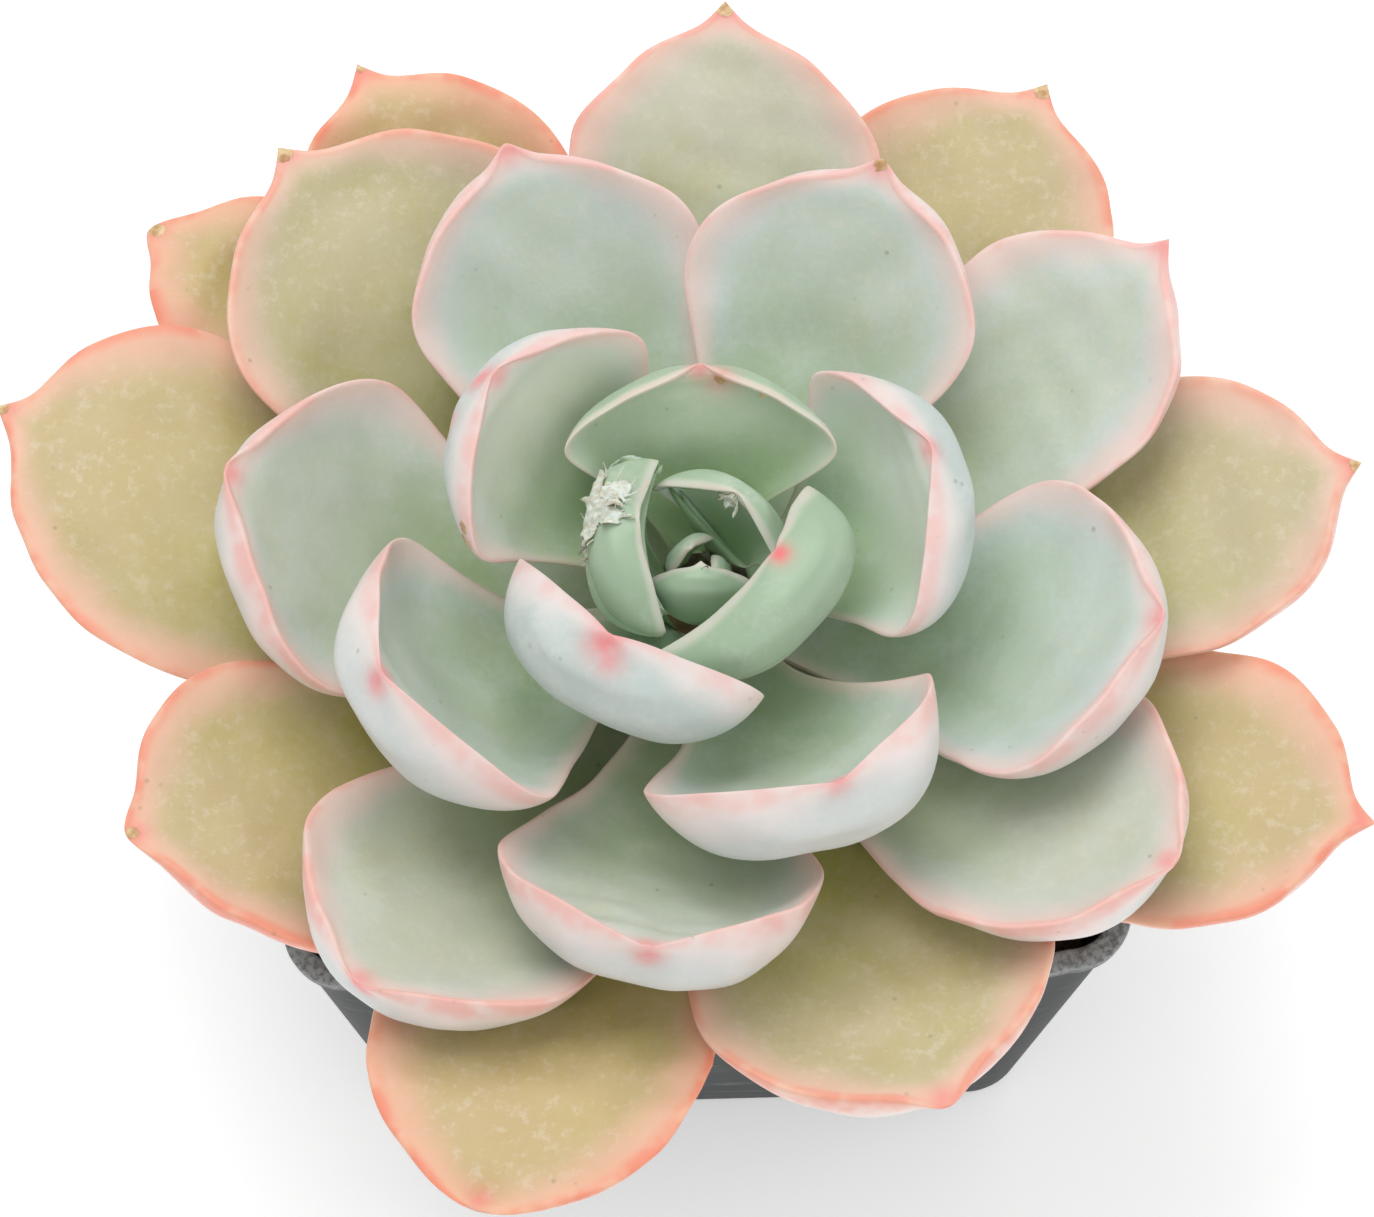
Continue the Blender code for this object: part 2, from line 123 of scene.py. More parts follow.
def loft_faces(rings, around):
    """Quads between successive closed rings, then a fan to a pole before the first ring and one after the last."""
    i, j = np.meshgrid(np.arange(rings - 1), np.arange(around), indexing="ij")
    k = (j + 1) % around
    quads = np.stack([i * around + j, i * around + k, (i + 1) * around + k, (i + 1) * around + j], axis=-1)
    j = np.arange(around)
    k = (j + 1) % around
    first, last, base = rings * around, rings * around + 1, (rings - 1) * around
    fans = np.concatenate([
        np.stack([k, j, np.full(around, first)], axis=-1),
        np.stack([base + j, base + k, np.full(around, last)], axis=-1),
    ])
    return [quads.reshape(-1, 4), fans]


def closed_skin(rings, start, end):
    """Points and outward faces of a closed skin over rings[station][place round], with a pole at each end."""
    points = np.concatenate([rings.reshape(-1, 3), [start, end]])
    faces = loft_faces(*rings.shape[:2])
    a, b, c = (points[faces[0][:, corner]] for corner in range(3))
    middle = points.mean(axis=0)
    if np.einsum("ij,ij->i", a - middle, np.cross(b - middle, c - middle)).sum() < 0.0:
        faces = [block[:, ::-1] for block in faces]
    return points, faces


def loft(name, rings, start, end, material, attributes=None):
    """One piece that is a closed skin."""
    points, faces = closed_skin(rings, start, end)
    return make_mesh(name, points, faces, material, attributes)


def settle(piece, node):
    """The piece rides on the only body and stands for its CAD node, which is hidden."""
    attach(piece, "root")
    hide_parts(node)


# ---------------------------------------------------------------- shader helpers

def feed(tree, node, inputs):
    """A node's inputs, by name or number, given as values or as sockets to link."""
    for label, value in inputs.items():
        if isinstance(value, bpy.types.NodeSocket):
            tree.links.new(value, node.inputs[label])
        else:
            node.inputs[label].default_value = value


def new_node(tree, kind, inputs=None, **settings):
    """A node with its settings and its inputs."""
    node = tree.nodes.new(kind)
    for label, value in settings.items():
        setattr(node, label, value)
    feed(tree, node, inputs or {})
    return node


def calc(tree, operation, first, second, clamp=False):
    """One Math node."""
    return new_node(tree, "ShaderNodeMath", {0: first, 1: second}, operation=operation, use_clamp=clamp).outputs[0]


def times(tree, first, second):
    """One value times another."""
    return calc(tree, "MULTIPLY", first, second)


def plus(tree, first, second, clamp=False):
    """One value and another added, held between 0 and 1 where clamped."""
    return calc(tree, "ADD", first, second, clamp)


def fade(tree, value, low, high, bottom=0.0, top=1.0):
    """A smooth step of the value from low to high, between bottom and top."""
    given = {"Value": value, "From Min": low, "From Max": high, "To Min": bottom, "To Max": top}
    return new_node(tree, "ShaderNodeMapRange", given, interpolation_type="SMOOTHSTEP").outputs["Result"]


def blend(tree, share, first, second):
    """One colour mixed toward another."""
    given = {0: share, 6: first, 7: second}
    return new_node(tree, "ShaderNodeMix", given, data_type="RGBA", clamp_factor=True).outputs[2]


def noise(tree, place, scale, detail=3.0, rough=0.55, twist=0.0):
    """Cloudy noise between 0 and 1, in features of 1/scale metres."""
    given = {"Vector": place, "Scale": scale, "Detail": detail, "Roughness": rough, "Distortion": twist}
    return new_node(tree, "ShaderNodeTexNoise", given).outputs["Fac"]


def spots(tree, place, scale):
    """Distance to the nearest scattered point, in cells of 1/scale metres."""
    given = {"Vector": place, "Scale": scale, "Randomness": 1.0}
    return new_node(tree, "ShaderNodeTexVoronoi", given, feature="F1").outputs["Distance"]


def mesh_value(tree, label):
    """A value stored on the mesh's points."""
    return new_node(tree, "ShaderNodeAttribute", attribute_name=label).outputs["Fac"]


def own_place(tree):
    """The place on the piece in its own, unmoving coordinates."""
    return new_node(tree, "ShaderNodeTexCoord").outputs["Object"]


def new_group(name, takes, gives):
    """A shader node group with named inputs (name, socket kind, default) and outputs (name, socket kind)."""
    tree = bpy.data.node_groups.new(name, "ShaderNodeTree")
    for label, kind, default in takes:
        socket = tree.interface.new_socket(label, in_out="INPUT", socket_type=kind)
        if default is not None:
            socket.default_value = default
    for label, kind in gives:
        tree.interface.new_socket(label, in_out="OUTPUT", socket_type=kind)
    return tree, tree.nodes.new("NodeGroupInput").outputs, tree.nodes.new("NodeGroupOutput").inputs


def new_material(name, **constants):
    """A Principled material. The constants are set on the shader's own sockets, with _ for a space."""
    material = bpy.data.materials.new(name)
    material.use_nodes = True
    shader = material.node_tree.nodes["Principled BSDF"]
    for label, value in constants.items():
        shader.inputs[label.replace("_", " ")].default_value = value
    return material, material.node_tree, shader


def bump(tree, height, distance, strength=1.0):
    """A normal bent by a height that is given in units of the distance."""
    given = {"Height": height, "Distance": distance, "Strength": strength}
    return new_node(tree, "ShaderNodeBump", given).outputs["Normal"]


COLOR, FLOAT, VECTOR = "NodeSocketColor", "NodeSocketFloat", "NodeSocketVector"


# ---------------------------------------------------------------- leaf finish

def bloom_group():
    """The farina: a waxy powder that lies in clouds, is rubbed thin in places and leaves fine specks."""
    tree, given, out = new_group(
        "farina bloom",
        [("Place", VECTOR, None), ("Amount", FLOAT, 0.5), ("Cloud", FLOAT, 160.0)],
        [("Cover", FLOAT), ("Grain", FLOAT), ("Speck", FLOAT)],
    )
    clouds = noise(tree, given["Place"], given["Cloud"], 4.0, 0.6, 0.4)
    fine = noise(tree, given["Place"], 1500.0, 2.0, 0.6)
    mix = plus(tree, times(tree, clouds, 0.72), times(tree, fine, 0.28))
    low = calc(tree, "SUBTRACT", 0.78, times(tree, given["Amount"], 0.5))
    cover = fade(tree, mix, calc(tree, "SUBTRACT", low, 0.16), plus(tree, low, 0.16))
    for label, value in (("Cover", cover), ("Grain", fine)):
        tree.links.new(value, out[label])
    far = spots(tree, given["Place"], 420.0)
    rare = fade(tree, noise(tree, given["Place"], 240.0, 1.0), 0.52, 0.68)
    tree.links.new(times(tree, fade(tree, far, 0.05, 0.14, 1.0, 0.0), rare), out["Speck"])
    return tree


def leaf_group(bloom):
    """The skin of a leaf: body, a pale band by the margin that is partly bloom and partly a painted reflection, soft
    glow by the margin, a thin margin line, underside and marks.
    """
    tree, given, out = new_group(
        "leaf skin",
        [
            ("Body", COLOR, paint(186, 198, 180)), ("Deep", COLOR, paint(158, 176, 138)),
            ("Pale", COLOR, paint(208, 216, 216)), ("Glow", COLOR, paint(228, 210, 198)),
            ("Line", COLOR, paint(232, 160, 150)), ("Under", COLOR, paint(222, 226, 226)),
            ("Pale Reach", FLOAT, 8.0), ("Glow Reach", FLOAT, 3.0), ("Line Reach", FLOAT, 0.3),
            ("Bloom", FLOAT, 0.5),
        ],
        [("Color", COLOR), ("Roughness", FLOAT), ("Height", FLOAT)],
    )
    place = own_place(tree)
    along, edge, side = mesh_value(tree, "along"), mesh_value(tree, "edge"), mesh_value(tree, "side")
    warm, dry, blush = mesh_value(tree, "warm"), mesh_value(tree, "dry"), mesh_value(tree, "blush")
    powder = new_node(tree, "ShaderNodeGroup", {"Place": place, "Amount": given["Bloom"]}, node_tree=bloom).outputs
    drift = noise(tree, place, 90.0, 3.0, 0.6)
    mottle = noise(tree, place, 760.0, 5.0, 0.72)
    wander = times(tree, calc(tree, "SUBTRACT", noise(tree, place, 180.0, 3.0), 0.5), 3.4)
    rim = plus(tree, edge, times(tree, wander, fade(tree, edge, 0.2, 2.0)))

    # The top: deep colour by the root, the body's colour, then the old leaves' ochre and olive.
    root = fade(tree, plus(tree, along, times(tree, drift, 0.2)), 0.36, 0.95, 1.0, 0.0)
    skin = blend(tree, times(tree, root, 0.9), given["Body"], given["Deep"])
    old = blend(tree, root, paint(200, 170, 112), paint(162, 160, 40))
    skin = blend(tree, times(tree, warm, 0.85), skin, old)
    yellowed = times(tree, fade(tree, drift, 0.5, 0.75), plus(tree, 0.1, times(tree, warm, 0.4)))
    skin = blend(tree, yellowed, skin, paint(184, 178, 92))

    # A pale band lies between the body and the margin. It is partly bloom in clouds that the fine grain breaks up, and
    # partly a painted reflection where the margin turns up toward the light.
    pale = fade(tree, calc(tree, "DIVIDE", rim, given["Pale Reach"]), 0.0, 1.0, 0.72, 0.0)
    pale = times(tree, pale, fade(tree, along, 0.25, 0.7, 0.2, 1.0))
    pale = times(tree, pale, calc(tree, "SUBTRACT", 1.0, times(tree, warm, 0.5)))
    pale = plus(tree, pale, times(tree, powder["Cover"], 0.3), clamp=True)
    bloom_and_sheen_skin = blend(tree, warm, given["Pale"], paint(208, 186, 152))
    skin = blend(tree, pale, skin, bloom_and_sheen_skin)
    grains = times(tree, fade(tree, mottle, 0.5, 0.68), fade(tree, along, 0.45, 0.9, 0.1, 0.55))
    skin = blend(tree, times(tree, grains, given["Bloom"]), skin, paint(226, 216, 200))

    # The soft glow, wider toward the tip, then the thin line at the very margin.
    reach = times(tree, given["Glow Reach"], fade(tree, along, 0.3, 0.95, 0.5, 1.3))
    glow = fade(tree, calc(tree, "DIVIDE", rim, reach), 0.0, 1.0, 1.0, 0.0)
    glow_skin = blend(tree, warm, given["Glow"], paint(236, 178, 150))
    skin = blend(tree, times(tree, glow, fade(tree, along, 0.1, 0.55, 0.3, 0.85)), skin, glow_skin)
    line_skin = blend(tree, warm, given["Line"], paint(232, 130, 104))

    # The underside: paler, with its own pink toward the margin.
    under = blend(tree, times(tree, powder["Cover"], 0.4), given["Under"], paint(230, 228, 224))
    under_glow = fade(tree, calc(tree, "DIVIDE", rim, given["Glow Reach"]), 0.0, 0.85, 0.7, 0.0)
    under = blend(tree, under_glow, under, blend(tree, 0.4, given["Glow"], paint(248, 234, 230)))
    skin = blend(tree, fade(tree, side, -0.75, 0.25), under, skin)
    line_width = times(tree, given["Line Reach"], fade(tree, along, 0.35, 1.0, 0.6, 2.0))
    broken = fade(tree, noise(tree, place, 260.0, 2.0), 0.34, 0.6, 0.15, plus(tree, 0.5, times(tree, warm, 0.4)))
    line_place = plus(tree, edge, times(tree, wander, 0.12))
    line = fade(tree, calc(tree, "DIVIDE", line_place, line_width), 0.2, 2.4, 1.0, 0.0)
    line = times(tree, times(tree, line, broken), fade(tree, along, 0.2, 0.75, 0.2, 1.0))
    skin = blend(tree, line, skin, line_skin)

    # Marks: rosy spots, dark specks and dry, corky skin.
    rosy = times(tree, blush, fade(tree, mottle, 0.25, 0.6, 0.65, 1.0))
    skin = blend(tree, rosy, skin, paint(236, 118, 122))
    skin = blend(tree, times(tree, powder["Speck"], 0.4), skin, paint(120, 124, 92))
    ragged = plus(tree, dry, times(tree, calc(tree, "SUBTRACT", mottle, 0.5), 0.9))
    cork = fade(tree, ragged, 0.42, 0.58)
    cork_skin = blend(tree, fade(tree, noise(tree, place, 900.0, 4.0), 0.3, 0.7), paint(226, 200, 160),
                      paint(176, 134, 92))
    skin = blend(tree, cork, skin, cork_skin)
    tree.links.new(skin, out["Color"])

    rough = plus(tree, 0.46, times(tree, powder["Cover"], 0.14))
    rough = plus(tree, rough, times(tree, cork, 0.3))
    tree.links.new(rough, out["Roughness"])
    fine = plus(tree, times(tree, mottle, 0.6), times(tree, powder["Grain"], 0.35))
    tree.links.new(plus(tree, fine, times(tree, cork, 1.4)), out["Height"])
    return tree


def leaf_material(name, group, colours, reaches, amount):
    """Waxy leaf skin with light that goes a little way in, in one ring's own colours."""
    material, tree, shader = new_material(
        name, Subsurface_Weight=0.2, Subsurface_Scale=0.003, Specular_IOR_Level=0.4,
        Subsurface_Radius=(1.0, 0.8, 0.5), Sheen_Weight=0.1, Sheen_Roughness=0.5,
    )
    values = dict(zip(("Body", "Deep", "Pale", "Glow", "Line", "Under"), colours))
    values.update(zip(("Pale Reach", "Glow Reach", "Line Reach"), reaches))
    skin = new_node(tree, "ShaderNodeGroup", {**values, "Bloom": amount}, node_tree=group).outputs
    feed(tree, shader, {"Base Color": skin["Color"], "Roughness": skin["Roughness"],
                        "Normal": bump(tree, skin["Height"], 0.00012, 0.5)})
    return material


# ---------------------------------------------------------------- leaves

STEM_AXIS = np.array([0.0001, -0.0054])
STEM_FOOT = 30 * MM
SPIRAL_STEP = math.radians(138.1)
CAD_RINGS = 13
CAD_AROUND = 12
LEAF_ROWS = 76
LEAF_AROUND = 112
FLESH_ABOVE = 0.16
LEAF_RIM = 0.42 * MM
ROUND_FROM = 0.64
FIRST_SEED = 40


def leaf_rings(node, likeness=None):
    """The CAD leaf's rings [station][place round] from root to tip, and its tip, read from its mesh.

    Each ring starts at the left margin, runs over the top to the right margin and back below. The tip is the
    farthest point with eleven neighbours or more, the rings are the steps away from it, and the margins are
    where a ring's own outline turns most sharply. A leaf too small to be read so takes the given likeness,
    turned by one step of the spiral and fitted to its own box.
    """
    mesh = node.data
    corners = np.empty(len(mesh.vertices) * 3)
    mesh.vertices.foreach_get("co", corners)
    corners = corners.reshape(-1, 3)
    loops = np.empty(len(mesh.loops), dtype=np.int32)
    mesh.loops.foreach_get("vertex_index", loops)
    _, first, index = np.unique(np.round(corners / (0.001 * MM)), axis=0, return_index=True, return_inverse=True)
    points, triangles = corners[first], index.ravel()[loops].reshape(-1, 3)

    def neighbours(chosen):
        near = np.zeros((len(points), len(points)), dtype=bool)
        for a, b in ((0, 1), (1, 2), (2, 0)):
            near[chosen[:, a], chosen[:, b]] = near[chosen[:, b], chosen[:, a]] = True
        return near

    near = neighbours(triangles)
    foot = np.array([*STEM_AXIS, STEM_FOOT])
    far = np.linalg.norm(points - foot, axis=1) * (near.sum(axis=1) >= 11)
    level = np.full(len(points), -1)
    level[np.argmax(far)] = 0
    front, step = level == 0, 0
    while front.any():
        step += 1
        front = near[front].any(axis=0) & (level < 0)
        level[front] = step
    if not np.all(np.bincount(level, minlength=CAD_RINGS + 1)[1:CAD_RINGS + 1] == CAD_AROUND):
        rings, tip = likeness
        spin = np.array(Matrix.Rotation(-SPIRAL_STEP, 3, "Z"))
        axis = np.array([*STEM_AXIS, 0.0])
        both = np.concatenate([rings, np.broadcast_to(tip, (1, CAD_AROUND, 3))])
        turned = (both - axis) @ spin.T + axis
        low, high = turned.reshape(-1, 3).min(axis=0), turned.reshape(-1, 3).max(axis=0)
        turned = points.min(axis=0) + (turned - low) / (high - low) * (points.max(axis=0) - points.min(axis=0))
        return turned[:-1], turned[-1, 0]
    group = np.stack([np.flatnonzero(level == step) for step in range(CAD_RINGS, 0, -1)])
    capped = (level[triangles] == CAD_RINGS).all(axis=1)
    beside = neighbours(triangles[~capped]) & (level[:, None] == level[None, :])
    walk, seen = [group[:, 0]], np.zeros(len(points), dtype=bool)
    seen[group[:, 0]] = True
    for _ in range(CAD_AROUND - 1):
        following = np.argmax(beside[walk[-1]] & ~seen, axis=1)
        seen[following] = True
        walk.append(following)
    rings, tip = points[np.stack(walk, axis=1)], points[np.flatnonzero(level == 0)[0]]

    back, ahead = np.roll(rings, 1, axis=1) - rings, np.roll(rings, -1, axis=1) - rings
    sharp = np.einsum("ijk,ijk->ij", back, ahead)
    sharp /= np.linalg.norm(back, axis=2) * np.linalg.norm(ahead, axis=2)
    start = np.argmax(sharp[:, :6] + sharp[:, 6:], axis=1)
    count = np.arange(CAD_AROUND)
    turned = np.take_along_axis(rings, ((start[:, None] + count) % CAD_AROUND)[:, :, None], axis=1)
    out = np.array([*(turned[-3].mean(axis=0)[:2] - STEM_AXIS), 0.0])
    out /= np.linalg.norm(out)
    chord = tip - rings[0].mean(axis=0)
    rise = np.array([0.0, 0.0, 1.0]) * (chord @ out) - out * chord[2]
    upper = (turned[:, 1:6].mean(axis=1) - turned[:, 7:].mean(axis=1)) @ rise > 0.0
    flip = np.where(upper[:, None], count, -count % CAD_AROUND)
    turned = np.take_along_axis(turned, flip[:, :, None], axis=1)
    side = np.array([-out[1], out[0], 0.0])
    rightward = (turned[:, 6] - turned[:, 0]) @ side > 0.0
    swap = np.where(rightward[:, None], count, (CAD_AROUND // 2 - count) % CAD_AROUND)
    return np.take_along_axis(turned, swap[:, :, None], axis=1), tip


def leaf_surface(rings, tip, seed, ripple, rim, fuller, slimmer, even):
    """The smooth leaf over its CAD rings, as rings [station][place round], with what the finish needs.

    The blade between top and underside is a cubic spline through the CAD leaf's own points, along and across.
    Its flesh is F(t) (1 - |v|^2.6)^0.6, part above the blade and most below, with v = -cos(a) over the top and
    back below. A rim of its own, r (1 - |v|^14)^0.5, rounds the margin. Long shallow waves lift and sink both
    faces together, and short ones wander along the margin. A fuller tip is spread from the keel toward a round
    end, W (1 - s^2.4)^0.5. An even blade is drawn toward its own least squares fit, of the fifth degree along and
    the fourth across, which takes out the dents where neighbours pushed it aside.
    """
    top, under = rings[:, :7], rings[:, [0, 11, 10, 9, 8, 7, 6]]
    blade = (1.0 - FLESH_ABOVE) * top + FLESH_ABOVE * under
    depth = top[:, 3] - under[:, 3]
    middle = np.concatenate([blade[:, 3], [tip]])
    far = np.concatenate([[0.0], np.cumsum(np.linalg.norm(np.diff(middle, axis=0), axis=1))])
    far /= far[-1]
    across = np.linalg.norm(np.diff(blade[2:9], axis=1), axis=2).sum(axis=0)
    across = np.concatenate([[0.0], np.cumsum(across)])
    across = 2.0 * across / across[-1] - 1.0

    t = 1.0 - (1.0 - np.linspace(0.0, 1.0, LEAF_ROWS, endpoint=False)) ** 1.4
    half_way = LEAF_AROUND // 2
    v = -np.cos(np.linspace(0.0, math.pi, half_way + 1))
    v = np.sign(v) * (0.8 * np.abs(v) + 0.2 * np.abs(v) ** 2.2)
    closed = np.concatenate([blade, np.broadcast_to(tip, (1, 7, 3))])
    along_powers, across_powers = np.vander(far, 6), np.vander(across, 5)
    fit = np.einsum("ai,ijk,bj->abk", along_powers @ np.linalg.pinv(along_powers), closed,
                    across_powers @ np.linalg.pinv(across_powers))
    closed = closed + even * (1.0 - smooth(0.84, 0.94, far))[:, None, None] * (fit - closed)
    lengthwise = spline_weights(far, t)
    sheet = np.einsum("ti,ijk,vj->tvk", lengthwise, closed, spline_weights(across, v))
    flesh = slimmer * (lengthwise @ np.concatenate([depth, [[0.0, 0.0, 0.0]]]))
    keel = sheet[:, half_way // 2][:, None, :]
    width = np.linalg.norm(np.diff(sheet, axis=1), axis=2).sum(axis=1) / 2.0
    round_end = width.max() * (1.0 - np.clip((t - ROUND_FROM) / (1.0 - ROUND_FROM), 0.0, 1.0) ** 2.4) ** 0.5
    spread = 1.0 + fuller * np.maximum(round_end / np.maximum(width, 1e-9) - 1.0, 0.0) * (t > ROUND_FROM)
    sheet = keel + spread[:, None, None] * (sheet - keel)
    half = np.linalg.norm(np.diff(sheet, axis=1), axis=2).sum(axis=1) / 2.0

    normal = np.cross(np.gradient(sheet, axis=0), np.gradient(sheet, axis=1))
    normal /= np.maximum(np.linalg.norm(normal, axis=2), 1e-12)[:, :, None]
    if (normal * flesh[:, None, :]).sum() < 0.0:
        normal = -normal
    right = sheet[:, -1] - sheet[:, 0]
    right /= np.maximum(np.linalg.norm(right, axis=1), 1e-9)[:, None]
    calm = (smooth(0.0, 0.35, t) * (1.0 - smooth(0.86, 1.0, t)))[:, None]
    lift = calm * ripple * (waves(sheet, 17 * MM, seed) + 0.35 * waves(sheet, 6 * MM, seed + 50))
    wander = calm * 0.6 * ripple * waves(sheet, 9 * MM, seed + 90) * v[None, :] * np.abs(v)[None, :] ** 2
    sheet = sheet + lift[:, :, None] * normal + wander[:, :, None] * right[:, None, :]

    profile = (1.0 - np.minimum(np.abs(v), 1.0) ** 2.6) ** 0.6
    nose = (1.0 - np.minimum(np.abs(v), 1.0) ** 14) ** 0.5
    edge_rim = rim * (0.35 + 0.65 * smooth(0.0, 0.4, t)) * (1.0 - smooth(0.955, 1.0, t) * 0.6)
    edge_rim = np.minimum(edge_rim, 0.4 * half)[:, None, None] * nose[None, :, None] * normal
    body = profile[None, :, None] * flesh[:, None, :]
    upper = sheet + FLESH_ABOVE * body + edge_rim
    lower = sheet - (1.0 - FLESH_ABOVE) * body - 0.35 * edge_rim
    skin = np.concatenate([upper, lower[:, -2:0:-1]], axis=1)
    v = np.concatenate([v, v[-2:0:-1]])
    over = np.arange(len(v)) <= half_way
    fullness = np.concatenate([nose, nose[-2:0:-1]])
    values = {
        "along": np.broadcast_to(t[:, None], skin.shape[:2]),
        "edge": (1.0 - np.abs(v))[None, :] * half[:, None] / MM,
        "side": np.broadcast_to(np.where(over, 1.0, -1.0) * fullness, skin.shape[:2]),
    }
    return skin, blade[0, 3], values, t, v, over


def leaf_marks(skin, t, v, over, marks):
    """A mask of round, soft marks: for each, exp(-(distance / reach)^2) from a place t, v on one face."""
    mask = np.zeros(skin.shape[:2])
    for place, across, on_top, reach, strength in marks:
        row = np.argmin(np.abs(t - place))
        column = np.argmin(np.abs(v - across) + 5.0 * (over != on_top))
        near = np.linalg.norm(skin - skin[row, column], axis=2) / (reach * MM)
        mask = np.maximum(mask, strength * np.exp(-near ** 2))
    return mask


# One row a leaf: its warmth (0 mint, 1 ochre and coral), its ripple (mm).
LEAF_TEMPER = {
    -7: (0.0, 0.02), -6: (0.0, 0.03), -5: (0.0, 0.05), -4: (0.0, 0.06), -3: (0.0, 0.08), -2: (0.0, 0.1),
    -1: (0.1, 0.14), 0: (0.05, 0.14), 1: (0.1, 0.18), 2: (0.2, 0.18), 3: (0.1, 0.2), 4: (0.1, 0.22),
    5: (0.1, 0.22), 6: (0.05, 0.22), 7: (0.1, 0.22), 8: (0.2, 0.24), 9: (0.15, 0.22), 10: (0.2, 0.22),
    11: (0.25, 0.24), 12: (0.45, 0.26), 13: (0.3, 0.24), 14: (0.35, 0.26), 15: (0.3, 0.26), 16: (0.5, 0.26),
    17: (0.6, 0.26), 18: (0.7, 0.26), 19: (0.75, 0.28), 20: (0.9, 0.28), 21: (0.85, 0.26), 23: (0.7, 0.26),
    28: (0.85, 0.28),
}

# Leaves whose tip is rounder than the rule, and by how much; leaves drawn even; leaves with less flesh.
FULLER = {-1: 0.1, -2: 0.3, -3: 0.15, -4: 0.2, 0: 0.7, 1: 0.45, 2: 0.5, 3: 0.6, 5: 0.65, 8: 0.6, 11: 0.5, 13: 0.5,
          6: 0.3, 10: 0.3, 7: 0.1, 4: 0.1, 28: 0.3, 16: 0.25, 21: 0.8, 18: 0.3}
EVEN = {-4: 0.9, -2: 0.9, -1: 0.9}
SLIMMER = {-1: 0.6, -4: 0.6, -6: 0.7, -3: 0.85, 2: 0.85}

# Dry, corky skin and rosy spots: rank: (share of the length, share across, on the top, reach in mm, strength).
DRY = {
    12: ((0.99, 0.0, True, 1.1, 1.0),), 15: ((0.99, 0.0, True, 1.2, 1.0),), 17: ((0.985, 0.0, True, 1.1, 1.0),),
    28: ((0.985, 0.0, True, 1.1, 0.9),), 4: ((0.99, 0.0, True, 0.9, 0.9),), 14: ((0.99, 0.0, True, 0.9, 0.8),),
    23: ((0.99, 0.0, True, 1.0, 0.8),), 20: ((0.99, 0.0, True, 0.6, 0.8),), 18: ((0.99, 0.0, True, 0.9, 0.8),),
    2: ((0.66, 0.95, False, 1.4, 0.95), (0.56, 0.88, False, 1.7, 0.98), (0.47, 0.93, False, 1.4, 0.9),
        (0.74, 0.97, False, 0.9, 0.85)),
    -1: ((0.93, -0.4, True, 1.2, 0.62), (0.88, -0.6, True, 0.9, 0.58)),
}
BLUSH = {
    -2: ((0.985, 0.0, False, 1.1, 1.0), (0.985, 0.0, True, 0.9, 0.9)),
    0: ((0.975, 0.0, False, 2.0, 0.8), (0.95, 0.12, False, 1.6, 0.6), (0.97, 0.1, True, 1.3, 0.6)),
    13: ((0.97, 0.0, False, 1.3, 1.0),), 8: ((0.97, 0.0, False, 1.4, 0.7),), 5: ((0.97, 0.0, False, 1.4, 0.8),),
    2: ((0.95, 0.1, False, 1.5, 0.8), (0.90, 0.5, False, 1.3, 0.5)), 10: ((0.97, 0.0, False, 1.4, 0.9),),
    -1: ((0.93, -0.35, True, 1.6, 0.5), (0.98, 0.0, True, 1.1, 0.7)),
}
TIP_BLUSH = (0.985, 0.0, True, 1.3, 0.6)


def build_leaves(looks):
    """Every leaf of the rosette, from its CAD node."""
    made, read = {}, None
    for name in sorted(NODES):
        if "leaf" not in name:
            continue
        rank = int(name[-2:]) * (-1 if name.startswith("heart") else 1)
        warm, ripple = LEAF_TEMPER[rank]
        read = leaf_rings(NODES[name], read)
        tip = read[1]
        rim = LEAF_RIM * (0.5 if rank < -4 else 1.0)
        skin, root, values, t, v, over = leaf_surface(
            *read, FIRST_SEED + rank, ripple * MM, rim, FULLER.get(rank, 0.0), SLIMMER.get(rank, 1.0),
            EVEN.get(rank, 0.0))
        values["dry"] = leaf_marks(skin, t, v, over, DRY.get(rank, ()))
        tip_blush = (TIP_BLUSH,) if rank > -2 else ()
        values["blush"] = leaf_marks(skin, t, v, over, BLUSH.get(rank, ()) + tip_blush)
        values["warm"] = np.full(skin.shape[:2], warm)
        ends = {"along": (0.0, 1.0), "edge": (8.0, 0.0), "side": (0.0, 1.0), "warm": (warm, warm),
                "dry": (0.0, values["dry"][-1].max()), "blush": (0.0, values["blush"][-1].max())}
        points = {key: np.concatenate([values[key].ravel(), ends[key]]) for key in values}
        ring = name.rsplit("_", 1)[0]
        piece = loft(name + "_skin", skin, root, tip, looks[ring], points)
        settle(piece, name)
        made[rank] = (skin, t, v, over)
    return made


# ---------------------------------------------------------------- dry bits on the youngest leaves

def on_leaf(leaf, along, across, on_top):
    """Points of a leaf's own surface at shares t and v on one face, read between its grid points."""
    skin, t, v, _ = leaf
    half_way = LEAF_AROUND // 2
    row = np.interp(along, t, np.arange(len(t)))
    column = np.interp(across, v[:half_way + 1], np.arange(half_way + 1))
    if not on_top:
        column = LEAF_AROUND - column
    i, j = np.minimum(row.astype(int), len(t) - 2), column.astype(int)
    a, b = (row - i)[..., None], (column - j)[..., None]
    j, k = j % LEAF_AROUND, (j + 1) % LEAF_AROUND
    return (1 - a) * ((1 - b) * skin[i, j] + b * skin[i, k]) + a * ((1 - b) * skin[i + 1, j] + b * skin[i + 1, k])


